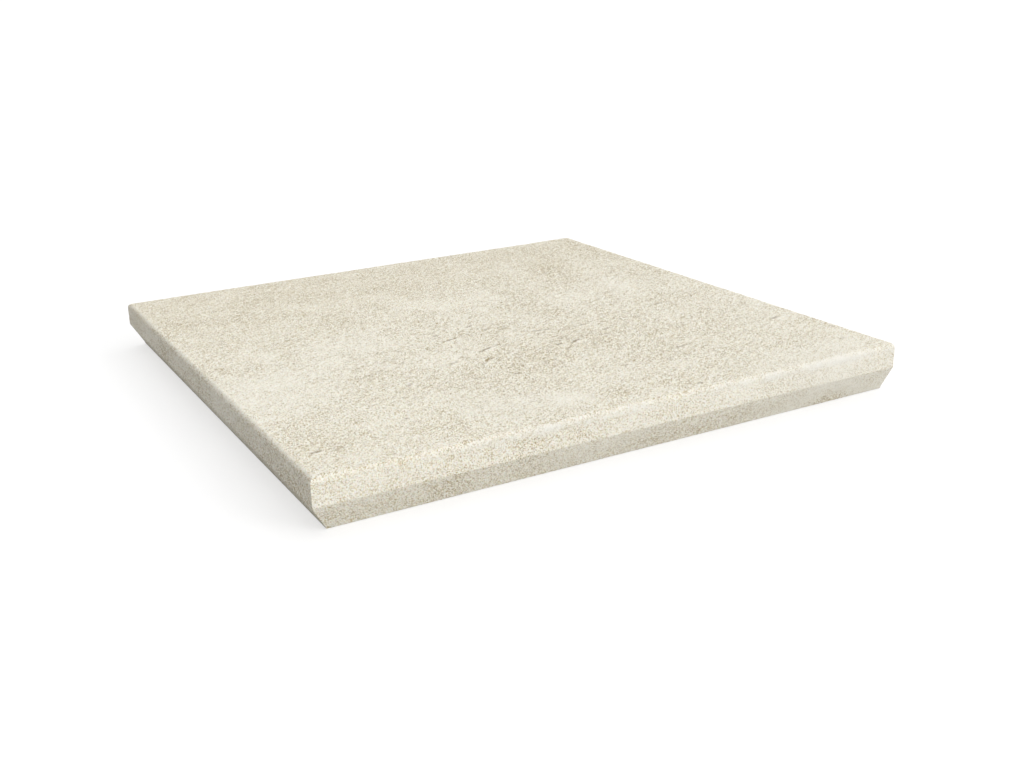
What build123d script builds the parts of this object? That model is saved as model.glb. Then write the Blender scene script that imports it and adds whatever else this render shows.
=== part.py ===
from build123d import *
from math import radians, tan
import os

# Corner stair nosing tile, pressed and fired as one piece of stoneware.
#
# Two neighbouring edges carry the same nose: a rounded arris, an upright face and an undercut that falls
# back to a flat foot. The noses mitre at the outer corner of the stair. Behind them the underside is
# recessed to a thinner body, which beds on the tread and is keyed with a grid of shallow grooves.
#
# Millimetres, +Z up. The origin is under the middle of the tile, level with the foot of the noses.
# The front nose looks along -Y and the side nose along -X. The other two edges are plain joint edges.

# Overall sizes
TILE_LENGTH = 330.0  # along the front nose, X
TILE_DEPTH = 330.0  # along the side nose, Y
NOSE_HEIGHT = 28.0  # top surface down to the foot of the nose
BODY_THICKNESS = 14.0  # top surface down to the bedding face

# Nose, seen in section
FACE_HEIGHT = 13.5  # top surface down to the knee, where the undercut starts
UNDERCUT_DEPTH = 8.5  # how far the foot stands back from the upright face
LIP_WIDTH = 32.0  # upright face back to the lip's inner wall, at the foot
LIP_DRAFT = 12.0  # lean of the inner wall in degrees, for release from the mould
ARRIS_RADIUS = 3.0  # top surface to upright face
KNEE_RADIUS = 2.0  # upright face to undercut
TOE_RADIUS = 1.0  # undercut to foot
HEEL_RADIUS = 1.5  # foot to inner wall
ROOT_RADIUS = 5.0  # inner wall to bedding face

# Plan corners and plain edges
MITRE_RADIUS = 1.2  # upright corner where the two noses meet
BACK_CORNER_RADIUS = 3.0  # plain corner opposite the noses
EDGE_EASE = 0.8  # chamfer along the top of the two plain edges

# Keying grid on the bedding face
KEY_PITCH = 25.0  # spacing aimed at, evened out over the face
KEY_WIDTH = 6.0
KEY_DEPTH = 1.2
KEY_MARGIN = 7.0  # plain band left round the grid

# Worked out from the sizes above
LIP_DROP = NOSE_HEIGHT - BODY_THICKNESS
KNEE_LEVEL = NOSE_HEIGHT - FACE_HEIGHT
LIP_ROOT = LIP_WIDTH + LIP_DROP * tan(radians(LIP_DRAFT))
BED_START = LIP_ROOT + ROOT_RADIUS  # the bedding face is flat from here on

NODE = "corner_nosing_tile"


def rounded(outline, radius, across, level):
    """The outline with its corner at (across, level) rounded."""
    corner = outline.vertices().sort_by_distance((across, level, 0))[0]
    return fillet(corner, radius)


def tile_section(run):
    """Solid section across a nose, from its upright face back to the plain edge."""
    section = make_face(
        Polyline(
            (UNDERCUT_DEPTH, 0),
            (0, KNEE_LEVEL),
            (0, NOSE_HEIGHT),
            (run, NOSE_HEIGHT),
            (run, 0),
            close=True,
        )
    )
    section = rounded(section, ARRIS_RADIUS, 0, NOSE_HEIGHT)
    section = rounded(section, KNEE_RADIUS, 0, KNEE_LEVEL)
    section = rounded(section, TOE_RADIUS, UNDERCUT_DEPTH, 0)
    plain_edge = section.vertices().sort_by_distance((run, NOSE_HEIGHT, 0))[0]
    return chamfer(plain_edge, EDGE_EASE)


def recess_section(run):
    """Section of the hollow behind a nose, flared below the foot so that the heel comes out rounded."""
    flare = LIP_WIDTH - 2 * HEEL_RADIUS
    section = make_face(
        Polyline(
            (flare, -HEEL_RADIUS),
            (flare, 0),
            (LIP_WIDTH, 0),
            (LIP_ROOT, LIP_DROP),
            (run, LIP_DROP),
            (run, -HEEL_RADIUS),
            close=True,
        )
    )
    section = rounded(section, HEEL_RADIUS, LIP_WIDTH, 0)
    return rounded(section, ROOT_RADIUS, LIP_ROOT, LIP_DROP)


def crossed(section):
    """A section run along the front and along the side, keeping what both share, so that they mitre."""
    along_front = extrude(Plane.YZ * section(TILE_DEPTH), TILE_LENGTH)
    along_side = extrude(Plane.XZ * section(TILE_LENGTH), -TILE_DEPTH)
    return along_front & along_side


def plan_block():
    """Upright block of the tile's plan, with the mitred corner and the plain corner rounded."""
    plan = Pos(TILE_LENGTH / 2, TILE_DEPTH / 2) * Rectangle(TILE_LENGTH, TILE_DEPTH)
    plan = rounded(plan, MITRE_RADIUS, 0, 0)
    plan = rounded(plan, BACK_CORNER_RADIUS, TILE_LENGTH, TILE_DEPTH)
    return extrude(plan, NOSE_HEIGHT)


def key_lines(run):
    """Middle lines of the grooves across one run, spread evenly between the margins."""
    first = BED_START + KEY_MARGIN + KEY_WIDTH / 2
    last = run - KEY_MARGIN - KEY_WIDTH / 2
    spaces = max(1, round((last - first) / KEY_PITCH))
    return [first + (last - first) * i / spaces for i in range(spaces + 1)]


def keying():
    """Grid of crossing grooves to be cut into the bedding face."""
    across = key_lines(TILE_LENGTH)
    along = key_lines(TILE_DEPTH)
    middle_x = (across[0] + across[-1]) / 2
    middle_y = (along[0] + along[-1]) / 2
    reach_x = across[-1] - across[0] + KEY_WIDTH
    reach_y = along[-1] - along[0] + KEY_WIDTH
    grooves = Sketch()
    grooves += [Pos(x, middle_y) * Rectangle(KEY_WIDTH, reach_y) for x in across]
    grooves += [Pos(middle_x, y) * Rectangle(reach_x, KEY_WIDTH) for y in along]
    return extrude(Pos(0, 0, LIP_DROP) * grooves, KEY_DEPTH)


def tile():
    """The whole tile, moved so that the origin is under its middle."""
    body = crossed(tile_section) & plan_block()
    body -= crossed(recess_section)
    body -= keying()
    return Pos(-TILE_LENGTH / 2, -TILE_DEPTH / 2) * body


os.makedirs("parts", exist_ok=True)
export_step(tile(), f"parts/{NODE}.step")
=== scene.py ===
import math
import random
from collections import namedtuple

import bmesh
import bpy
import numpy as np
from mathutils import Matrix, Vector, noise


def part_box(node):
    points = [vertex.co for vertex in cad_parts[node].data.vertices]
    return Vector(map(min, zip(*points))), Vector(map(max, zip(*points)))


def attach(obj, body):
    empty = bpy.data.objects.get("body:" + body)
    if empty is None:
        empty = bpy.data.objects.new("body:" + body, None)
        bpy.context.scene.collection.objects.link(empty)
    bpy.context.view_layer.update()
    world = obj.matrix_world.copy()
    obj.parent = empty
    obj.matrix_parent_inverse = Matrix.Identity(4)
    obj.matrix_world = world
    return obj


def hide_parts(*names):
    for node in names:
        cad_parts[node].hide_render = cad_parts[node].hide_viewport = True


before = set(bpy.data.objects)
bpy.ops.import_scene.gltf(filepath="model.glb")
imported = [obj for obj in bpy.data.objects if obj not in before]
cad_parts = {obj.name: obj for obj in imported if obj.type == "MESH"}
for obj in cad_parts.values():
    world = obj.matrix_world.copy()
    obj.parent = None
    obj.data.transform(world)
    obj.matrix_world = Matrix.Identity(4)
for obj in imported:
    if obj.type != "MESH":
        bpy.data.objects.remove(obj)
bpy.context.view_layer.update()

# Sizes in millimetres. The overall ones come from the frame. The others repeat the part's own values,
# apart from a sharper knee and mitre and the lean of the keying grooves' walls.
NODE = "corner_nosing_tile"
MM = 0.001
low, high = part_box(NODE)
LENGTH, DEPTH, HEIGHT = ((high - low) / MM)[:]
BODY_THICKNESS = 14.0
FACE_HEIGHT = 13.5
UNDERCUT_DEPTH = 8.5
LIP_WIDTH = 32.0
LIP_DRAFT = math.radians(12.0)
ARRIS_RADIUS = 3.0
KNEE_RADIUS = 1.0
TOE_RADIUS = 1.0
HEEL_RADIUS = 1.5
ROOT_RADIUS = 5.0
MITRE_RADIUS = 0.4
BACK_CORNER_RADIUS = 3.0
EDGE_EASE = 0.8
KEY_PITCH = 25.0
KEY_WIDTH = 6.0
KEY_DEPTH = 1.2
KEY_MARGIN = 7.0
KEY_WALL = 0.25  # width of a groove's leaning wall, seen from below

RUNS = (LENGTH, DEPTH)  # along the front nose, and along the side nose
BED_LEVEL = HEIGHT - BODY_THICKNESS
KNEE_LEVEL = HEIGHT - FACE_HEIGHT
LIP_ROOT = LIP_WIDTH + BED_LEVEL * math.tan(LIP_DRAFT)
BED_START = LIP_ROOT + ROOT_RADIUS
ARRIS_MIDDLE = ARRIS_RADIUS * math.pi / 4  # way down the nose from the walking surface to the arris
KNEE_MIDDLE = 2 * ARRIS_MIDDLE + FACE_HEIGHT - ARRIS_RADIUS  # and to the knee

# Mesh density
CELL = 1.38  # spacing of the grid on the walking surface
CORNER_STEPS = (0.16, 0.31, 0.6, 1.0, 1.7, 2.6)  # closer columns next to the mitred corner
PLAIN_ROWS = 5  # rows down the plain edges
CRISP = 0.2  # rows this far from the knee keep the flats next to it flat
REFINED, REFINED_TWICE = 2.0, 1.5  # cells this near to a pit are divided, and again at a placed one
REFINED_FURTHER = 0.5  # and this much further at its ends and behind it
SHARP_TURN = math.radians(38)  # edges that turn by more than this are shaded sharp
TOUCH = 0.01  # nearer than this counts as touching
LEAST_NORMAL = 1e-6  # a normal shorter than this, as on the plain edges, isn't made longer

# Relief, as depths below the CAD surface
SEED = 7
RELIEF_FLOOR = 0.26
SWELLS = ((46.0, 0.10), (11.0, 0.06))  # wavelength and depth
STROKE_TURN = 30.0  # the stone's strokes lie this many degrees off the front edge
STROKES = ((9.0, 3.6, 0.08), (4.6, 2.9, 0.06))  # wavelength along and across, and depth
EDGE_WANDER = ((30.0, 0.30), (9.0, 0.22))  # wavelength and depth along the arris
EDGE_REACH = 1.4  # how far from the arris that is felt
EDGE_RISE = -0.1  # the arris is worn down more than it rises
EDGE_OFFSET = 23.0  # its noise is read this far off, apart from the swells' noise
QUIET_SHARE, QUIET_REACH = 0.85, 3.0  # the relief dies away towards the mitre and the knee

# Torn pits in the walking surface: place on it from the mitred corner, half their length, depth and turn
Pit = namedtuple("Pit", "x y half depth turn")
PITS = (
    Pit(135.5, 142.0, 6.0, 0.50, 18),
    Pit(144.0, 115.0, 6.5, 0.50, 25),
    Pit(136.8, 98.4, 3.6, 0.40, 21),
    Pit(131.0, 93.5, 3.0, 0.20, 40),
    Pit(187.0, 129.0, 6.0, 0.40, -10),
    Pit(182.0, 101.0, 2.5, 0.50, 30),
    Pit(192.5, 101.0, 5.0, 0.55, 27),
    Pit(213.0, 125.5, 2.5, 0.40, 15),
    Pit(219.5, 111.0, 3.0, 0.36, 25),
    Pit(132.5, 154.0, 2.2, 0.40, 45),
    Pit(157.0, 160.0, 3.0, 0.35, 32),
    Pit(162.5, 148.5, 3.0, 0.35, 27),
    Pit(84.5, 85.0, 2.4, 0.26, 35),
    Pit(63.5, 42.5, 1.2, 0.45, 10),
    Pit(138.0, 70.0, 2.5, 0.35, 5),
    Pit(160.0, 78.5, 3.0, 0.18, 35),
    Pit(118.7, 103.6, 4.5, 0.30, 27),
    Pit(117.5, 74.8, 2.5, 0.30, 0),
    Pit(274.5, 137.5, 4.0, 0.40, 15),
    Pit(311.5, 74.0, 4.0, 0.40, 10),
    Pit(235.5, 60.5, 5.5, 0.30, 15),
    Pit(205.0, 7.0, 1.4, 0.45, -30),
    Pit(13.0, 27.0, 3.2, 0.50, 15),
)
PIT_WALL = 0.7  # width of the steep wall, on the side of the front edge
PIT_REACH = 1.2  # way over which the floor rises again
PIT_LIP = 0.30  # height of the lip before the wall, as a share of the depth
PIT_WRIGGLES = ((0.30, 1.3), (0.15, 3.1))  # reach of a pit's wriggles, and their radians for each millimetre
DARK_PLACE, DARK_WIDTH = 0.5, 1.0  # the dark line in a pit, across it
HIGHLIGHT_PLACE, HIGHLIGHT_WIDTH = -2.0, 1.3  # the painted highlight before its lip
HIGHLIGHT_TONE = 0.6
FULL_PIT = 0.5  # depth from which both lines have their full strength

# Small pits strewn over the walking surface
STREWN_PITS = 70
STREWN_MARGIN = 8.0
STREWN_HALF = (1.2, 3.4)  # least and most half length
STREWN_SPREAD = 14.0  # spread of their turn about the strokes' turn
STREWN_LIKING = 2.0  # how much likelier they are on coarser stone
STREWN_DEPTH, STREWN_DEEPENING = 0.05, 0.03  # least depth, and more for each millimetre of half length

# Soft spots on the rolled-out face: place, half size along and across, turn and strength
Spot = namedtuple("Spot", "x y along across turn strength")
# mostly the stone's clouds, with some painted light and shade, marked where they stand
SHADES = (
    Spot(197, 107, 42, 22, 40, -0.25),
    Spot(273, 254, 32, 10, 80, -0.28),
    Spot(30, 24, 50, 18, 8, -0.20),
    Spot(75, 160, 12, 8, 40, -0.14),
    Spot(138, 86, 30, 16, 25, -0.18),
    Spot(280, 140, 20, 11, 35, -0.20),
    Spot(165, 15, 14, 6, 25, -0.16),
    Spot(215, 160, 20, 14, 35, -0.12),
    # painted shade: the walking surface darker along its back edge
    Spot(165, 312, 320, 75, 0, -0.38),
    Spot(40, 215, 45, 40, 0, -0.14),
    Spot(215, 165, 120, 65, 0, 0.13),
    Spot(315, 170, 55, 90, 0, 0.14),
    Spot(5, 285, 60, 80, 0, -0.10),
    Spot(325, 300, 30, 50, 0, -0.06),
    # painted light and shade on the noses: the undercut darker at the left, lighter towards the right and a
    # little lighter all along; the side nose lighter near its back end, against the painted shade along the
    # back, and darker at its front end
    Spot(25, -23, 45, 9, 0, -0.10),
    Spot(-14, 290, 10, 75, 0, 0.44),
    Spot(-14, 20, 10, 40, 0, -0.14),
    Spot(285, -23, 75, 9, 0, 0.42),
    Spot(165, -23, 600, 9, 0, 0.10),
    Spot(20, -8, 30, 8, 0, -0.10),
    Spot(85, -8, 25, 8, 0, 0.10),
    Spot(270, -8, 70, 8, 0, 0.20),
    # painted light: the side nose a little lighter along most of its length
    Spot(-14, 230, 10, 160, 0, 0.10),
    Spot(35, 115, 46, 44, 0, 0.16),
    Spot(92, 170, 24, 9, 48, 0.18),
    Spot(130, 30, 22, 20, 0, 0.10),
    Spot(275, 8, 44, 20, 4, 0.10),
    Spot(182, 280, 18, 35, 0, 0.06),
    Spot(268, 203, 26, 16, 30, 0.10),
    Spot(150, 215, 22, 14, 20, 0.08),
)
SMUDGES = (
    Spot(112, -23, 7, 2.2, 10, -0.45),
    Spot(167, -24, 6, 1.8, 15, -0.45),
    Spot(68, -15, 8, 2.5, 15, -0.35),
    Spot(126, -20, 6, 2.5, 20, -0.25),
    Spot(65, -3, 6, 3.0, 0, -0.30),
    Spot(108, -5, 8, 3.0, 0, -0.25),
    Spot(133, -9, 4, 1.5, 15, -0.35),
    Spot(88, -2, 10, 2.5, 0, -0.20),
)
PALE = (
    Spot(128, 30, 24, 22, 0, 0.8),
    Spot(112, 55, 8, 18, 0, 0.5),
    Spot(272, 6, 48, 22, 4, 1.0),
    Spot(302, 85, 20, 30, 0, 0.35),
    Spot(264, -18, 44, 14, 0, 0.8),
    Spot(120, -24, 26, 9, 0, 0.4),
    Spot(305, -23, 50, 9, 0, 1.5),
    Spot(150, -23, 30, 9, 0, 0.9),
    Spot(318, -8, 40, 12, 0, 0.7),
    Spot(30, 120, 50, 46, 0, 0.40),
    Spot(185, 330, 300, 60, 0, 0.35),
    Spot(92, 170, 24, 9, 48, 0.6),
)
PALE_MOST = 2.0
CREASED = (
    Spot(165, 120, 85, 58, 25, 0.75),
    Spot(25, 25, 32, 22, 10, 0.60),
    Spot(290, 110, 40, 50, 0, 0.40),
    Spot(60, 170, 40, 25, 30, 0.30),
)
CREASED_LEAST = 0.2
COARSE = (
    Spot(225, 120, 120, 95, 20, 0.50),
    Spot(165, 330, 300, 110, 0, 0.10),
    Spot(165, -21, 600, 8, 0, 0.45),
    Spot(-14, 165, 12, 600, 0, 0.65),
    Spot(-14, 310, 12, 60, 0, 0.40),
    Spot(285, -10, 60, 14, 0, 1.40),
    Spot(255, -22, 120, 9, 0, 1.10),
    Spot(325, 200, 75, 120, 0, 0.35),
    Spot(0, 330, 120, 90, 0, -0.40),
    Spot(20, 10, 60, 40, 0, -0.30),
)
COARSE_NOSE, COARSE_TOP = 1.5, 1.8  # on the noses and on the walking surface, before the spots
COARSE_LEAST = 0.5
RIPPLED_NOSE = 0.4  # the small waves are weaker on the noses
FRONT_ARRIS_SHADE = -0.15  # painted shade along the front arris, over both its halves
SIDE_ARRIS_LIGHT_AND_SHADE = 0.28  # painted highlight along the upper half of the side arris, whose lower half gets as much painted shade
WEAR_HIGHLIGHT_MIDDLE, WEAR_HIGHLIGHT_REACH = 4.0, 4.0  # the pale wear along the arris, partly a painted highlight, as ways down the nose
WEAR_HIGHLIGHT_LEAST = 0.55
# spots where the pale wear along the arris, partly a painted highlight, is stronger
WEAR_HIGHLIGHT_SPOTS = (
    Spot(118, 0, 55, 30, 0, 0.50),
    Spot(275, 0, 60, 30, 0, 0.60),
)
RAGGED = ((38.0, 14.0), (12.0, 5.0))  # wavelength and reach of the spots' ragged outlines
RAGGED_OFFSET = 100.0  # the noise of each axis is read this much further off
RAGGED_SMUDGE = 0.2  # smudges are small, and only this share as ragged


def arc(across, level, radius, start, end, steps):
    """Points along an arc about (across, level), between two angles in degrees, the first one left out."""
    angles = np.radians(np.linspace(start, end, steps + 1)[1:])
    return [(across + radius * math.cos(a), level + radius * math.sin(a)) for a in angles]


def line(start, end, steps):
    """Points along a straight line, the first one left out."""
    return [tuple(np.array(start) + (np.array(end) - start) * k / steps) for k in range(1, steps + 1)]


def nose_rows():
    """The nose's section as (inset, level), from the edge of the walking surface down to the foot.
    Also returns the row that lies level with the foot of the plain edges' chamfer."""
    lean = math.atan2(UNDERCUT_DEPTH, KNEE_LEVEL)
    turn = 180 + math.degrees(lean)
    ease_angle = 180 - math.degrees(math.asin(1 - EDGE_EASE / ARRIS_RADIUS))
    arris_level = HEIGHT - ARRIS_RADIUS
    knee_level = KNEE_LEVEL + KNEE_RADIUS * math.tan(lean / 2)
    toe_inset = UNDERCUT_DEPTH + TOE_RADIUS * (1 - math.sin(lean)) / math.cos(lean)
    toe_start = (toe_inset - TOE_RADIUS * math.cos(lean), TOE_RADIUS - TOE_RADIUS * math.sin(lean))
    rows = [(ARRIS_RADIUS, HEIGHT)]
    rows += arc(ARRIS_RADIUS, arris_level, ARRIS_RADIUS, 90, ease_angle, steps=4)
    ease_row = len(rows) - 1
    rows += arc(ARRIS_RADIUS, arris_level, ARRIS_RADIUS, ease_angle, 180, steps=3)
    rows += line(rows[-1], (0.0, knee_level + CRISP), steps=8) + [(0.0, knee_level)]
    rows += arc(KNEE_RADIUS, knee_level, KNEE_RADIUS, 180, turn, steps=3)
    below = (rows[-1][0] + CRISP * math.sin(lean), rows[-1][1] - CRISP * math.cos(lean))
    rows += [below] + line(below, toe_start, steps=12)
    rows += arc(toe_inset, TOE_RADIUS, TOE_RADIUS, turn, 270, steps=3)
    return rows, ease_row


def lip_rows():
    """The lip's inner side as (inset, level), from the foot round the heel and up to the bedding face."""
    lean = math.degrees(LIP_DRAFT)
    heel_inset = LIP_WIDTH - HEEL_RADIUS * math.tan(math.radians(45 - lean / 2))
    root_inset = LIP_ROOT + ROOT_RADIUS / math.tan(math.radians(45 + lean / 2))
    wall_inset = root_inset - ROOT_RADIUS * math.cos(LIP_DRAFT)
    wall_level = BED_LEVEL - ROOT_RADIUS * (1 - math.sin(LIP_DRAFT))
    rows = [(heel_inset, 0.0)]
    rows += arc(heel_inset, HEEL_RADIUS, HEEL_RADIUS, 270, 360 - lean, steps=4)
    rows += line(rows[-1], (wall_inset, wall_level), steps=3)
    rows += arc(root_inset, BED_LEVEL - ROOT_RADIUS, ROOT_RADIUS, 180 - lean, 90, steps=5)
    return rows


def shares(run):
    """Places of the columns along an edge, as shares of its run, closer together at the mitred corner."""
    near = np.array((0.0,) + CORNER_STEPS)
    rest = np.linspace(near[-1], run, round((run - near[-1]) / CELL) + 1)[1:]
    return np.concatenate((near, rest)) / run


def along_nose(inset, far, share):
    """Plan point on a nose at one inset: along the edge, and in from it. The mitred corner is rounded."""
    half = math.acos(max(1 - inset / MITRE_RADIUS, math.sqrt(0.5)))
    bend = MITRE_RADIUS * (math.pi / 4 - half)
    start = max(inset, MITRE_RADIUS * (1 - math.sin(half)))
    way = share * (bend + far - start)
    if way < bend:
        angle = math.pi / 4 - way / MITRE_RADIUS
        return MITRE_RADIUS * (1 - math.sin(angle)), MITRE_RADIUS * (1 - math.cos(angle))
    return start + way - bend, inset


def round_back(x, y):
    """Plan point moved so that the plain corner opposite the noses is rounded."""
    a = x - (LENGTH - BACK_CORNER_RADIUS)
    b = y - (DEPTH - BACK_CORNER_RADIUS)
    if a <= 0 or b <= 0:
        return x, y
    scale = max(a, b) / math.hypot(a, b)
    return x - a + a * scale, y - b + b * scale


class Shell:
    """Points and faces of one closed mesh, gathered patch by patch."""

    def __init__(self):
        self.points = []
        self.reliefs = []
        self.flats = []
        self.faces = []
        self.finishes = []

    def point(self, x, y, z, relief=0.0, flat=None):
        """Adds a point, with its share of the relief and its place on the face rolled out flat."""
        self.points.append((x, y, z))
        self.reliefs.append(relief)
        self.flats.append(flat or (x, y))
        return len(self.points) - 1

    def polygon(self, corners, finish):
        self.faces.append(corners)
        self.finishes.append(finish)

    def patch(self, rows, finish):
        """Quads between rows of points."""
        for upper, lower in zip(rows, rows[1:]):
            for k in range(len(upper) - 1):
                self.polygon((upper[k], upper[k + 1], lower[k + 1], lower[k]), finish)


GLAZED, BODY = 0, 1  # material slots of the tile


def add_noses(shell, columns):
    """The front and side nose, which share the mitre column. Returns their rows, and the chamfer's row."""
    rows, ease_row = nose_rows()
    steps = np.linalg.norm(np.diff(rows, axis=0), axis=1)
    ways_down = np.concatenate(([0.0], np.cumsum(steps)))
    noses = [[], []]
    for (inset, level), way_down in zip(rows, ways_down):
        relief = 0.0 if level < TOE_RADIUS / 2 else 1.0
        for side in (0, 1):
            far = RUNS[side] - max(0.0, EDGE_EASE - (HEIGHT - level))
            points = []
            for k, share in enumerate(columns[side]):
                a, b = along_nose(inset, far, share)
                rolled = (a, ARRIS_RADIUS - way_down)
                if side == 1 and k == 0:
                    points.append(noses[0][-1][0])
                elif side == 0:
                    points.append(shell.point(a, b, level, relief, rolled))
                else:
                    points.append(shell.point(b, a, level, relief, rolled[::-1]))
            noses[side].append(points)
    for nose in noses:
        shell.patch(nose, GLAZED)
    return noses, ease_row


def add_top(shell, front, left):
    """The walking surface, between the noses' first rows and the chamfers. Returns its rows."""
    xs = [shell.points[k][0] for k in front[0]]
    ys = [shell.points[k][1] for k in left[0]]
    top = [front[0]]
    for j in range(1, len(ys)):
        row = [left[0][j]]
        row += [shell.point(*round_back(x, ys[j]), HEIGHT, 1.0) for x in xs[1:]]
        top.append(row)
    shell.patch(top, GLAZED)
    return top


def add_plain_edges(shell, top, columns):
    """The plain edges: a chamfer, then rows down to the bedding face. They meet at the rounded corner."""
    xs = ARRIS_RADIUS + columns[0] * (LENGTH - ARRIS_RADIUS)
    ys = ARRIS_RADIUS + columns[1] * (DEPTH - ARRIS_RADIUS)
    right = [[row[-1] for row in top]]
    back = [top[-1]]
    for level in np.linspace(HEIGHT - EDGE_EASE, BED_LEVEL, PLAIN_ROWS + 1):
        right_row = [shell.point(*round_back(LENGTH, y), level) for y in ys]
        back_row = [shell.point(*round_back(x, DEPTH), level) for x in xs[:-1]]
        right.append(right_row)
        back.append(back_row + [right_row[-1]])
    for edge in (right, back):
        shell.patch(edge[:2], GLAZED)
        shell.patch(edge[1:], BODY)
    return right, back


def key_lines(run):
    """Middle lines of the keying grooves across one run."""
    first = BED_START + KEY_MARGIN + KEY_WIDTH / 2
    last = run - KEY_MARGIN - KEY_WIDTH / 2
    spaces = max(1, round((last - first) / KEY_PITCH))
    return np.linspace(first, last, spaces + 1)


def groove_share(place, middles):
    """How deep a groove is at this place across it, from 0 to 1."""
    gap = np.abs(np.asarray(middles) - place).min()
    return float(np.clip((KEY_WIDTH / 2 - gap) / KEY_WALL, 0, 1))


def within(place, middles):
    """How far this place is inside the stretch that the grooves cover, from 0 to 1."""
    gap = min(place - middles[0], middles[-1] - place) + KEY_WIDTH / 2
    return float(np.clip(gap / KEY_WALL, 0, 1))


def under_lines(run):
    """Grid lines of the underside across one run, from the heel up to the last groove."""
    lines = [inset for inset, level in lip_rows()] + [BED_START]
    for middle in key_lines(run):
        for side in (-1, 1):
            edge = middle + side * KEY_WIDTH / 2
            lines += [edge, edge - side * KEY_WALL]
    return sorted(lines)


def add_underside(shell):
    """The lip's inner side and the keyed bedding face, as a height field. Returns its rows."""
    profile = np.array(lip_rows())
    across, along = (key_lines(run) for run in RUNS)

    def level(x, y):
        plain = min(np.interp(x, *profile.T), np.interp(y, *profile.T))
        grooved = max(
            groove_share(x, across) * within(y, along),
            groove_share(y, along) * within(x, across),
        )
        return plain + KEY_DEPTH * grooved

    xs, ys = (under_lines(run) for run in RUNS)
    field = [[shell.point(x, y, level(x, y)) for x in xs] for y in ys]
    shell.patch(field, BODY)
    return field


def join_plain_edge(shell, border, lip, foot, axis):
    """Cells from the underside's border to the foot of a plain edge, whose columns lie closer together.
    Returns the lip's end with the first column used, and the numbers of the columns used."""
    start = len(lip)  # first point of the border on the flat bedding face
    places = np.array([shell.points[k][axis] for k in foot])
    marks = [int(np.argmin(np.abs(places - shell.points[k][axis]))) for k in border[start:]]
    marks.append(len(foot) - 1)
    end = lip + [foot[marks[0]]]
    for k in range(start):
        shell.polygon((border[k], border[k + 1], end[k + 1], end[k]), BODY)
    for k in range(len(marks) - 2):
        stretch = foot[marks[k]:marks[k + 1] + 1]
        shell.polygon((border[start + k + 1], border[start + k], *stretch), BODY)
    return end, marks


def add_nose_end(shell, nose, ease_row, edge, lip_end, first_mark):
    """End of a nose in the plane of a plain edge: a sliver of chamfer, then the section of the lip."""
    ends = [row[-1] for row in nose]
    shell.polygon((*ends[:ease_row + 1], edge[1][0]), GLAZED)
    bed = edge[-1][:first_mark][::-1]
    column = [row[0] for row in edge[1:-1]][::-1]
    shell.polygon((*ends[ease_row:], *lip_end, *bed, *column), BODY)


def build_shell():
    """The whole tile as plain patches, in millimetres from the mitred corner at foot level."""
    shell = Shell()
    columns = [shares(run) for run in RUNS]
    (front, left), ease_row = add_noses(shell, columns)
    top = add_top(shell, front, left)
    right, back = add_plain_edges(shell, top, columns)
    field = add_underside(shell)

    right_lip = [shell.point(LENGTH, inset, level) for inset, level in lip_rows()]
    back_lip = [shell.point(inset, DEPTH, level) for inset, level in lip_rows()]
    right_end, right_marks = join_plain_edge(shell, [row[-1] for row in field], right_lip, right[-1], axis=1)
    back_end, back_marks = join_plain_edge(shell, field[-1], back_lip, back[-1], axis=0)
    corner = right[-1][right_marks[-2]:] + back[-1][back_marks[-2]:-1][::-1]
    shell.polygon((field[-1][-1], *corner), BODY)
    add_nose_end(shell, front, ease_row, right, right_end, right_marks[0])
    add_nose_end(shell, left, ease_row, back, back_end, back_marks[0])

    # Foot, from the noses' last rows to the heel
    outer = front[-1][::-1] + left[-1][1:]
    inner = [back_lip[0]] + [row[0] for row in field][::-1] + field[0][1:] + [right_lip[0]]
    shell.polygon((*outer, *inner), BODY)
    return shell


def bell(offset, reach):
    """1 at no offset, dying away over the reach."""
    return np.exp(-((offset / reach) ** 2))


def noise_at(places, *wavelengths):
    """Smooth noise at each place, from about -1 to 1, with one wavelength or one for each axis."""
    scaled = np.asarray(places) / np.array(wavelengths)
    return np.array([noise.noise(Vector(p)) for p in scaled])


def turned(flats, turn):
    """Places seen along and across a direction that is turned this many degrees from the front edge."""
    angle = math.radians(turn)
    along = flats[:, 0] * math.cos(angle) + flats[:, 1] * math.sin(angle)
    across = flats[:, 1] * math.cos(angle) - flats[:, 0] * math.sin(angle)
    return along, across


def spots_at(flats, spots):
    """Sum of soft spots at each place on the rolled-out face."""
    total = np.zeros(len(flats))
    for spot in spots:
        along, across = turned(flats - (spot.x, spot.y), spot.turn)
        total += spot.strength * np.exp(-((along / spot.along) ** 2) - (across / spot.across) ** 2)
    return total


def wandered(flats):
    """Places on the rolled-out face moved about a little, so that soft spots get ragged outlines."""
    lifted = np.column_stack((flats, np.zeros(len(flats))))
    moved = flats.astype(float).copy()
    for wavelength, reach in RAGGED:
        for axis in (0, 1):
            moved[:, axis] += reach * noise_at(lifted + RAGGED_OFFSET * (axis + 1), wavelength)
    return moved


def way_down_nose(flats):
    """Way from the walking surface down a nose, below 0 on the walking surface."""
    return ARRIS_RADIUS - flats.min(axis=1)


def inward(flats):
    """0 on the noses and 1 on the walking surface."""
    return np.clip(flats.min(axis=1) / (2 * ARRIS_RADIUS), 0, 1)


def coarseness(flats):
    """How coarse the stone's grain is at each place."""
    base = COARSE_NOSE + (COARSE_TOP - COARSE_NOSE) * inward(flats)
    return np.maximum(base + spots_at(flats, COARSE), COARSE_LEAST)


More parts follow.
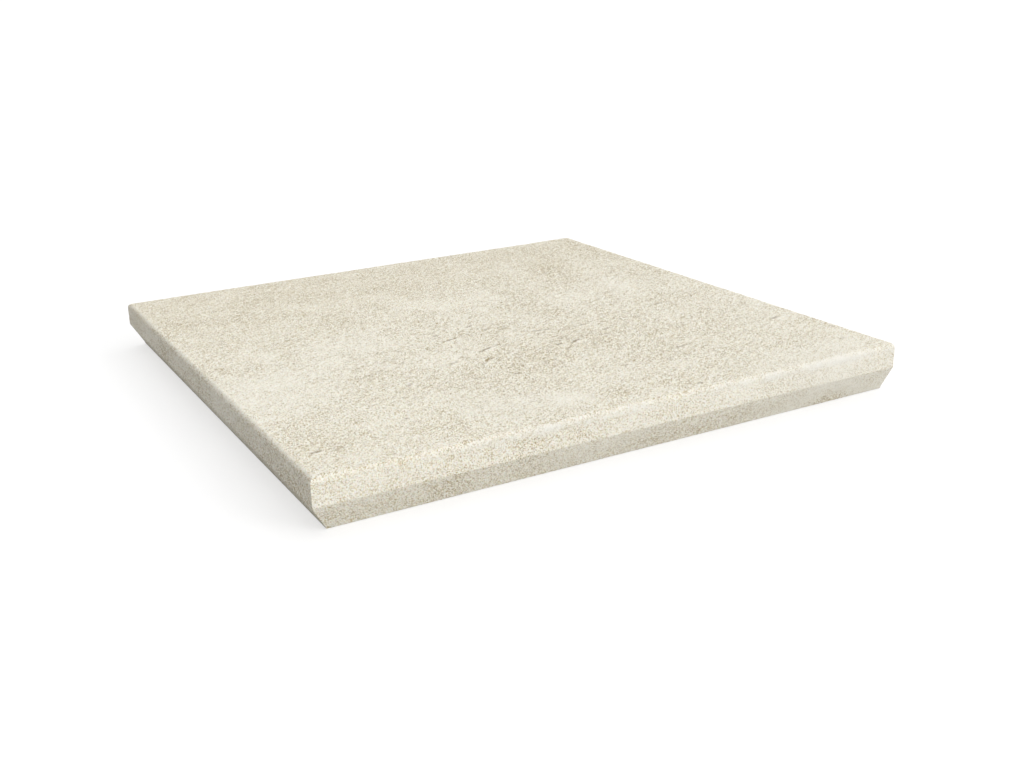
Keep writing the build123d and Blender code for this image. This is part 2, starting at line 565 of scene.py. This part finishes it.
def strewn_pits():
    """Small pits strewn over the walking surface, more of them where the stone is coarse."""
    dice = random.Random(SEED)
    found = []
    while len(found) < STREWN_PITS:
        x = dice.uniform(STREWN_MARGIN, LENGTH - STREWN_MARGIN)
        y = dice.uniform(STREWN_MARGIN, DEPTH - STREWN_MARGIN)
        half = dice.uniform(*STREWN_HALF)
        turn = dice.gauss(STROKE_TURN, STREWN_SPREAD)
        coarser = coarseness(np.array([(x, y)]))[0] - COARSE_TOP
        kept = dice.random() < STREWN_LIKING * coarser
        if kept:
            found.append(Pit(x, y, half, STREWN_DEPTH + STREWN_DEEPENING * half, turn))
    return tuple(found)


def across_pit(pit, flats):
    """How far each place lies behind a pit's wriggling line, and the pit's taper there, from 0 to 1."""
    along, across = turned(flats - (pit.x, pit.y), pit.turn)
    for (reach, bends), start in zip(PIT_WRIGGLES, (pit.x, pit.y)):
        across = across + reach * np.sin(along * bends + start)
    return across, np.sqrt(np.clip(1 - (along / pit.half) ** 2, 0, 1))


def pit_depth(pit, flats):
    """A pit's depth at each place: a low lip, a steep wall, and a floor that rises again behind it."""
    across, taper = across_pit(pit, flats)
    wall = np.clip(across / PIT_WALL + 0.5, 0, 1)
    wall = wall * wall * (3 - 2 * wall)
    hollow = wall * np.exp(-np.maximum(across, 0) / PIT_REACH)
    lip = bell(across + PIT_WALL, PIT_WALL)
    return pit.depth * taper * (hollow - PIT_LIP * lip)


def pit_lines(pit, flats):
    """How much of a pit's dark line and of its painted highlight before the lip lies at each place."""
    across, taper = across_pit(pit, flats)
    strength = min(1.0, pit.depth / FULL_PIT)
    dark = taper * bell(across - DARK_PLACE, DARK_WIDTH)
    light = taper * bell(across - HIGHLIGHT_PLACE, HIGHLIGHT_WIDTH)
    return dark * strength, light * strength


def refine(bm, flat, pits, reach):
    """Divides the cells of the walking surface that lie within reach of a pit."""
    cells = [f for f in bm.faces if all(v.co.z > HEIGHT - TOUCH for v in f.verts)]
    middles = np.array([sum((v[flat] for v in f.verts), Vector()) / len(f.verts) for f in cells])[:, :2]
    near = np.zeros(len(cells), bool)
    for pit in pits:
        along, across = turned(middles - (pit.x, pit.y), pit.turn)
        beside = np.abs(along) < pit.half + REFINED_FURTHER
        near |= beside & (across > -reach) & (across < reach + REFINED_FURTHER)
    edges = dict.fromkeys(edge for cell, chosen in zip(cells, near) if chosen for edge in cell.edges)
    bmesh.ops.subdivide_edges(bm, edges=list(edges), cuts=1, use_grid_fill=True)


def editable_shell(pits):
    """The shell as an editable mesh, finer at the pits. Its points carry what the shell says of them."""
    shell = build_shell()
    bm = bmesh.new()
    relief = bm.verts.layers.float.new("relief")
    flat = bm.verts.layers.float_vector.new("flat")
    verts = [bm.verts.new(p) for p in shell.points]
    for vert, share, rolled in zip(verts, shell.reliefs, shell.flats):
        vert[relief] = share
        vert[flat] = (*rolled, 0.0)
    for corners, finish in zip(shell.faces, shell.finishes):
        face = bm.faces.new([verts[k] for k in corners])
        face.material_index = finish
        face.smooth = True
    bmesh.ops.recalc_face_normals(bm, faces=bm.faces[:])
    refine(bm, flat, pits, REFINED)
    refine(bm, flat, PITS, REFINED_TWICE)
    bm.normal_update()
    return bm


Surface = namedtuple("Surface", "places normals reliefs flats")


def take_surface(bm):
    """Places and normals of the points, with their shares of the relief and places on the rolled-out face,
    which are then taken off the mesh. Normals at the plain edges lie in the planes of those edges."""
    relief = bm.verts.layers.float["relief"]
    flat = bm.verts.layers.float_vector["flat"]
    places = np.array([v.co for v in bm.verts])
    normals = np.array([v.normal for v in bm.verts])
    reliefs = np.array([v[relief] for v in bm.verts])
    flats = np.array([v[flat] for v in bm.verts])[:, :2]
    bm.verts.layers.float.remove(bm.verts.layers.float["relief"])
    bm.verts.layers.float_vector.remove(bm.verts.layers.float_vector["flat"])
    for axis, run in enumerate(RUNS):
        normals[places[:, axis] > run - EDGE_EASE - TOUCH, axis] = 0
    normals /= np.maximum(np.linalg.norm(normals, axis=1), LEAST_NORMAL)[:, None]
    return Surface(places, normals, reliefs, flats)


def relief_depth(surface, pits):
    """How far each point lies below the CAD surface."""
    places, flats = surface.places, surface.flats
    way_down = way_down_nose(flats)
    depth = np.zeros(len(places))
    for wavelength, amount in SWELLS:
        depth += amount * noise_at(places, wavelength)

    along, across = turned(places, STROKE_TURN)
    stroked = np.column_stack((along, across, places[:, 2]))
    coarse = np.minimum(coarseness(flats), COARSE_TOP)
    for long, wide, amount in STROKES:
        depth += amount * coarse * noise_at(stroked, long, wide, wide)

    closeness = bell(way_down - ARRIS_MIDDLE, EDGE_REACH)
    for wavelength, amount in EDGE_WANDER:
        depth += amount * closeness * np.maximum(noise_at(places + EDGE_OFFSET, wavelength), EDGE_RISE)
    for pit in pits:
        depth += pit_depth(pit, flats)

    at_mitre = bell(places[:, 0] - places[:, 1], QUIET_REACH) * (1 - inward(flats))
    at_knee = bell(way_down - KNEE_MIDDLE, QUIET_REACH)
    quiet = 1 - QUIET_SHARE * np.maximum(at_mitre, at_knee)
    return np.maximum(RELIEF_FLOOR + quiet * depth, 0) * surface.reliefs


def arris_painted_light(flats):
    """Painted light and shade along the arrises, added to the glaze's tone."""
    way_down = way_down_nose(flats)
    upper = bell(way_down - 0.5 * ARRIS_MIDDLE, 0.5 * ARRIS_MIDDLE)
    lower = bell(way_down - 1.5 * ARRIS_MIDDLE, 0.5 * ARRIS_MIDDLE)
    on_front = flats[:, 1] < flats[:, 0]
    return np.where(on_front, FRONT_ARRIS_SHADE * (upper + lower), SIDE_ARRIS_LIGHT_AND_SHADE * (upper - lower))


def face_fields(flats, pits):
    """The fields on the rolled-out face that the finish reads, by name."""
    ragged = wandered(flats)
    less_ragged = flats + RAGGED_SMUDGE * (ragged - flats)
    # the shade field also carries the painted light and shade along the arrises
    shade = spots_at(ragged, SHADES) + spots_at(less_ragged, SMUDGES) + arris_painted_light(flats)
    dark = np.zeros(len(flats))
    for pit in pits:
        dark_line, highlight_line = pit_lines(pit, flats)
        dark = np.maximum(dark, dark_line)
        # painted highlight before each pit's lip, added to the tone
        shade += HIGHLIGHT_TONE * highlight_line
    # pale wear along the arris, partly a painted highlight
    wear_and_highlight = bell(way_down_nose(flats) - WEAR_HIGHLIGHT_MIDDLE, WEAR_HIGHLIGHT_REACH)
    return {
        "shade": shade,
        "pale": np.minimum(spots_at(ragged, PALE), PALE_MOST),
        "creased": np.minimum(CREASED_LEAST + spots_at(ragged, CREASED), 1.0) * inward(flats),
        "coarse": coarseness(flats),
        "rippled": RIPPLED_NOSE + (1 - RIPPLED_NOSE) * inward(flats),
        "dark": dark,
        "wear_and_highlight": wear_and_highlight * (WEAR_HIGHLIGHT_LEAST + spots_at(flats, WEAR_HIGHLIGHT_SPOTS)),
    }


def tile_mesh():
    """The tile's mesh with its relief, in metres in the frame, and the fields that its finish reads."""
    pits = PITS + strewn_pits()
    bm = editable_shell(pits)
    surface = take_surface(bm)
    moved = surface.places - surface.normals * relief_depth(surface, pits)[:, None]
    moved -= (LENGTH / 2, DEPTH / 2, 0)
    for vert, place in zip(bm.verts, moved):
        vert.co = Vector(place) * MM
    mesh = bpy.data.meshes.new("tile")
    bm.to_mesh(mesh)
    bm.free()
    mesh.set_sharp_from_angle(angle=SHARP_TURN)
    for name, values in face_fields(surface.flats, pits).items():
        mesh.attributes.new(name, "FLOAT", "POINT").data.foreach_set("value", values.astype(np.float32))
    return mesh


def colour(red, green, blue):
    """Linear colour from one written in the usual 8 bits."""
    values = np.array((red, green, blue)) / 255
    linear = np.where(values < 0.04045, values / 12.92, ((values + 0.055) / 1.055) ** 2.4)
    return (*(float(v) for v in linear), 1.0)


class Tree:
    """A node tree, with short calls for the nodes used here."""

    def __init__(self, owner):
        owner.use_nodes = True
        self.nodes = owner.node_tree.nodes
        self.links = owner.node_tree.links
        self.nodes.clear()

    def add(self, kind, inputs, **settings):
        """A node with its settings, and its inputs linked or set."""
        node = self.nodes.new("ShaderNode" + kind)
        for name, value in settings.items():
            setattr(node, name, value)
        for key, value in inputs.items():
            if isinstance(value, bpy.types.NodeSocket):
                self.links.new(value, node.inputs[key])
            else:
                node.inputs[key].default_value = value
        return node

    def math(self, operation, *values, clamp=False):
        inputs = dict(enumerate(values))
        return self.add("Math", inputs, operation=operation, use_clamp=clamp).outputs[0]

    def total(self, start, *parts):
        """start plus each field times its weight."""
        for field, weight in parts:
            start = self.math("MULTIPLY_ADD", field, weight, start)
        return start

    def place(self, turn=0.0, stretch=1.0, further=0.0):
        """Places in millimetres, read further back, turned about the upright and squeezed along X."""
        inputs = {0: self.add("TexCoord", {}).outputs["Object"], 1: (0, further * MM, 0)}
        moved = self.add("VectorMath", inputs, operation="ADD").outputs[0]
        inputs = {"Vector": moved, "Angle": -math.radians(turn)}
        upright = self.add("VectorRotate", inputs, rotation_type="Z_AXIS").outputs[0]
        inputs = {0: upright, 1: (1 / MM / stretch, 1 / MM, 1 / MM)}
        return self.add("VectorMath", inputs, operation="MULTIPLY").outputs[0]

    def noise(self, place, size, detail=2.0, roughness=0.55):
        inputs = {"Vector": place, "Scale": 1 / size, "Detail": detail, "Roughness": roughness}
        return self.add("TexNoise", inputs).outputs["Fac"]

    def field(self, name):
        """One of the mesh's own fields."""
        return self.add("Attribute", {}, attribute_name=name).outputs["Fac"]

    def shift(self, base, field, change):
        """A colour moved by a change times how far the field is from its middle."""
        inputs = {0: self.math("SUBTRACT", field, 0.5), 1: change, 2: base}
        return self.add("VectorMath", inputs, operation="MULTIPLY_ADD").outputs[0]

    def mix(self, share, first, second):
        return self.add("Mix", {0: share, 6: first, 7: second}, data_type="RGBA").outputs[2]

    def ramp(self, field, stops):
        """Colours along a field, from a list of (position, colour)."""
        node = self.add("ValToRGB", {0: field})
        elements = node.color_ramp.elements
        while len(elements) < len(stops):
            elements.new(0.5)
        for element, (position, value) in zip(elements, stops):
            element.position = position
            element.color = value
        return node.outputs[0]

    def surface(self, inputs):
        shader = self.add("BsdfPrincipled", inputs)
        self.add("OutputMaterial", {"Surface": shader.outputs[0]})


# Patterns of the glazed face, by their size in millimetres
GRAIN = 0.40  # a sand grain
GRAIN_TURN, GRAIN_STRETCH = 60.0, 1.3  # the grains are a little longer along this direction
WAVES, WAVE_STRETCH = 3.1, 1.9  # the small waves are longer along the strokes
CREASES, CREASED_PATCHES = 5.2, 7.0
MOTTLE, VEIL, WORN_HIGHLIGHT_PATCHES = 10.0, 34.0, 14.0
EMBOSS = 0.5  # painted shading of the small waves, lighter where they face the front and darker where they face back: their height is compared this far either way

# Colours of the glazed face
STONE_TONES = (
    (0.03, colour(159, 138, 93)),
    (0.19, colour(181, 165, 128)),
    (0.32, colour(210, 199, 173)),
    (0.44, colour(229, 222, 203)),
    (0.57, colour(240, 235, 220)),
    (0.72, colour(248, 245, 233)),
)
OCHRE_SHIFT = (0.065, 0.031, -0.085)  # from bluish to ochre grains, in linear light
ROSY_SHIFT = (0.048, -0.048, 0.0)  # from greenish to rosy grains
PALE_COLOUR = colour(239, 235, 222)
# pale colour of the wear along the arris, which is partly a painted highlight
WORN_HIGHLIGHT_COLOUR = colour(240, 238, 230)
# darker colour of the pits' dark lines and of the creases
DARK_LINE_COLOUR = colour(138, 120, 90)


def stone_waves(tree, further=0.0):
    """Height of the stone's small waves, and its creases, read a little further back in the tile."""
    place = tree.place(STROKE_TURN, WAVE_STRETCH, further)
    waves = tree.noise(place, WAVES, 3.0, 0.65)
    lines = tree.noise(place, CREASES, 1.0, 0.5)
    shown = tree.noise(place, CREASED_PATCHES, 1.0, 0.5)
    away = tree.math("ABSOLUTE", tree.math("SUBTRACT", lines, 0.5))
    creases = tree.math("MULTIPLY_ADD", away, -13.0, 1.0, clamp=True)
    shown = tree.math("MULTIPLY_ADD", shown, 9.0, -5.0, clamp=True)
    creases = tree.math("MULTIPLY", tree.math("MULTIPLY", creases, shown), tree.field("creased"))
    return tree.total(0.0, (waves, 1.0), (creases, -0.3)), creases


def glazed_face():
    """Matt stone-look face: sand grains, small waves and creases, soft clouds, dark pits, a pale arris that
    is partly a painted highlight, and painted shading on the waves and arrises.
    """
    material = bpy.data.materials.new("glazed_face")
    tree = Tree(material)
    place = tree.place()
    mottle = tree.noise(place, MOTTLE, 3.0, 0.6)
    veil = tree.noise(place, VEIL, 3.0, 0.55)
    pale = tree.field("pale")
    shade = tree.field("shade")
    rippled = tree.field("rippled")

    grain_place = tree.place(GRAIN_TURN, GRAIN_STRETCH)
    cells = tree.add("TexVoronoi", {"Vector": grain_place, "Scale": 1 / GRAIN}, feature="F1")
    grain = tree.add("SeparateColor", {0: cells.outputs["Color"]}).outputs
    waves, creases = stone_waves(tree)
    # painted shading: the small waves' slopes that face the front are made lighter, those that face back
    # darker
    slope_shading = tree.math("SUBTRACT", stone_waves(tree, EMBOSS)[0], stone_waves(tree, -EMBOSS)[0])

    # The tone, about 0.5, which the detail and the fields lift and lower
    rough = tree.math("MULTIPLY", tree.field("coarse"), tree.total(0.9, (veil, -0.65), (pale, -0.07)))
    ripples = tree.total(-0.11, (waves, 0.22), (slope_shading, 0.60), (creases, -0.12))
    detail = tree.total(-0.46, (grain[0], 0.92), (ripples, rippled))
    blotches = tree.total(-0.12, (mottle, 0.24))
    clouds = tree.total(0.502, (veil, 0.167), (shade, 0.333))
    tone = tree.total(clouds, (blotches, rippled), (detail, rough))
    base = tree.ramp(tone, STONE_TONES)
    base = tree.shift(base, grain[1], OCHRE_SHIFT)
    base = tree.shift(base, grain[2], ROSY_SHIFT)
    base = tree.mix(tree.math("MULTIPLY", pale, 0.35), base, PALE_COLOUR)

    # Pale wear along the arris, partly a painted highlight, and a darker colour in the pits and creases
    patchy = tree.noise(place, WORN_HIGHLIGHT_PATCHES, 3.0, 0.6)
    worn_and_highlight = tree.math("MULTIPLY", tree.field("wear_and_highlight"), patchy)
    worn_and_highlight = tree.math("MULTIPLY_ADD", worn_and_highlight, 1.8, -0.45, clamp=True)
    base = tree.mix(worn_and_highlight, base, WORN_HIGHLIGHT_COLOUR)
    darkening = tree.math("MAXIMUM", tree.field("dark"), tree.math("MULTIPLY", creases, 0.25))
    base = tree.mix(tree.math("MULTIPLY", darkening, 0.85), base, DARK_LINE_COLOUR)

    height = tree.total(0.0, (waves, 0.4), (cells.outputs["Distance"], -0.2), (mottle, 0.2))
    bump = tree.add("Bump", {"Strength": 0.8, "Distance": MM, "Height": height})
    tree.surface({
        "Base Color": base,
        "Roughness": tree.total(0.55, (waves, 0.3), (mottle, 0.2), (worn_and_highlight, -0.12)),
        "Specular IOR Level": 0.3,
        "Normal": bump.outputs[0],
    })
    return material


# Fired clay: sizes of its patterns in millimetres, and its colours
CLAY_GRAIN, CLAY_MOTTLE, CLAY_CLOUD = 0.9, 5.0, 40.0
CLAY_TONES = (
    (0.10, colour(150, 134, 110)),
    (0.35, colour(186, 171, 145)),
    (0.55, colour(203, 190, 166)),
    (0.85, colour(220, 210, 189)),
)
RUN_COLOUR = colour(222, 214, 196)
RUN_LEAST, RUN_SPREAD = -1.0, 6.0  # how far the glaze has run down below the chamfer


def fired_body():
    """Plain fired clay of the joint edges and the underside, with glaze run over below the chamfer."""
    material = bpy.data.materials.new("fired_body")
    tree = Tree(material)
    place = tree.place()
    fine = tree.noise(place, CLAY_GRAIN, 2.0, 0.6)
    middle = tree.noise(place, CLAY_MOTTLE, 3.0, 0.6)
    cloud = tree.noise(place, CLAY_CLOUD, 2.0, 0.5)
    tone = tree.total(-0.35, (fine, 0.7), (middle, 0.6), (cloud, 0.4))
    base = tree.ramp(tone, CLAY_TONES)

    level = tree.add("SeparateXYZ", {0: place}).outputs[2]
    run = tree.total(-HEIGHT + EDGE_EASE + RUN_LEAST, (level, 1.0), (middle, RUN_SPREAD))
    run = tree.math("MULTIPLY", run, 1.2, clamp=True)
    base = tree.mix(run, base, RUN_COLOUR)

    height = tree.total(0.0, (fine, 0.12), (middle, 0.15))
    bump = tree.add("Bump", {"Strength": 0.8, "Distance": MM, "Height": height})
    tree.surface({
        "Base Color": base,
        "Roughness": tree.total(0.7, (middle, 0.25)),
        "Specular IOR Level": 0.25,
        "Normal": bump.outputs[0],
    })
    return material


def placed(name, data):
    """A new object in the scene."""
    thing = bpy.data.objects.new(name, data)
    bpy.context.collection.objects.link(thing)
    return thing


tile = placed("tile", tile_mesh())
tile.data.materials.append(glazed_face())
tile.data.materials.append(fired_body())
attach(tile, "root")
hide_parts(NODE)

# Camera, matched to the photograph's perspective
CAMERA_PLACE = (-0.3083, -0.5974, 0.2224)
CAMERA_YAW, CAMERA_PITCH, CAMERA_ROLL = 28.927, 19.165, -1.664
CAMERA_LENS, CAMERA_SENSOR = 42.0, 36.0  # millimetres
CAMERA_NEAREST = 0.01

camera_data = bpy.data.cameras.new("camera")
camera_data.lens = CAMERA_LENS
camera_data.sensor_width = CAMERA_SENSOR
camera_data.clip_start = CAMERA_NEAREST
camera = placed("camera", camera_data)
turn = Matrix.Rotation(math.radians(-CAMERA_YAW), 4, "Z")
turn @= Matrix.Rotation(math.radians(90 - CAMERA_PITCH), 4, "X")
turn @= Matrix.Rotation(math.radians(CAMERA_ROLL), 4, "Z")
camera.matrix_world = Matrix.Translation(CAMERA_PLACE) @ turn
bpy.context.scene.camera = camera

# Light: an even dome that dims towards the left, and a weak low lamp from the front right
DOME_STRENGTH = 1.1
DOME_DIMMING = 0.86  # share of its light that the dome has lost at the far left
KEY_STRENGTH = 1.0
KEY_FROM = Vector((0.45, -0.8, 0.36)).normalized()
KEY_ANGLE = 25.0
FLOOR_BOUNCE = 0.58
FLOOR_WHITE, FLOOR_GLOW = 0.45, 0.62  # its own glow keeps the floor white and the shadow faint
FLOOR_REACH = 40.0

key_data = bpy.data.lights.new("key", "SUN")
key_data.energy = KEY_STRENGTH
key_data.angle = math.radians(KEY_ANGLE)
key = placed("key", key_data)
key.rotation_mode = "QUATERNION"
key.rotation_quaternion = KEY_FROM.to_track_quat("Z", "Y")


def grey(level):
    """A grey of this level, in linear light."""
    return (level, level, level, 1)


def seen_share(tree):
    """1 for rays from the camera, a reflection or through glass, which see the plain white ground."""
    path = tree.add("LightPath", {}).outputs
    seen = tree.math("MAXIMUM", path["Is Camera Ray"], path["Is Glossy Ray"])
    return tree.math("MAXIMUM", seen, path["Is Transmission Ray"])


def dome():
    """The world: white where it is seen, and a dome of light that dims towards the left elsewhere."""
    world = bpy.data.worlds.new("world")
    tree = Tree(world)
    direction = tree.add("TexCoord", {}).outputs["Generated"]
    to_right = tree.add("SeparateXYZ", {0: direction}).outputs[0]
    lit_share = tree.math("MULTIPLY_ADD", to_right, DOME_DIMMING, 1.0, clamp=True)
    strength = tree.math("MULTIPLY", lit_share, DOME_STRENGTH)
    lit = tree.add("Background", {"Color": grey(1), "Strength": strength})
    seen = tree.add("Background", {"Color": grey(1), "Strength": 1.0})
    mixed = tree.add("MixShader", {0: seen_share(tree), 1: lit.outputs[0], 2: seen.outputs[0]})
    tree.add("OutputWorld", {"Surface": mixed.outputs[0]})
    return world


def floor_paint():
    """White floor that keeps the object's shadow, and throws less light back than it seems to."""
    paint = bpy.data.materials.new("floor")
    tree = Tree(paint)
    white = tree.add("BsdfDiffuse", {"Color": grey(FLOOR_WHITE)})
    glow = tree.add("Emission", {"Color": grey(1), "Strength": FLOOR_GLOW})
    shown = tree.add("AddShader", {0: white.outputs[0], 1: glow.outputs[0]})
    bounced = tree.add("BsdfDiffuse", {"Color": grey(FLOOR_BOUNCE)})
    mixed = tree.add("MixShader", {0: seen_share(tree), 1: bounced.outputs[0], 2: shown.outputs[0]})
    tree.add("OutputMaterial", {"Surface": mixed.outputs[0]})
    return paint


bpy.context.scene.world = dome()
floor_mesh = bpy.data.meshes.new("floor")
corners = [(x * FLOOR_REACH, y * FLOOR_REACH, 0) for x, y in ((-1, -1), (1, -1), (1, 1), (-1, 1))]
floor_mesh.from_pydata(corners, [], [(0, 1, 2, 3)])
floor_mesh.materials.append(floor_paint())
floor = placed("floor", floor_mesh)

bpy.context.scene.view_settings.view_transform = "Standard"
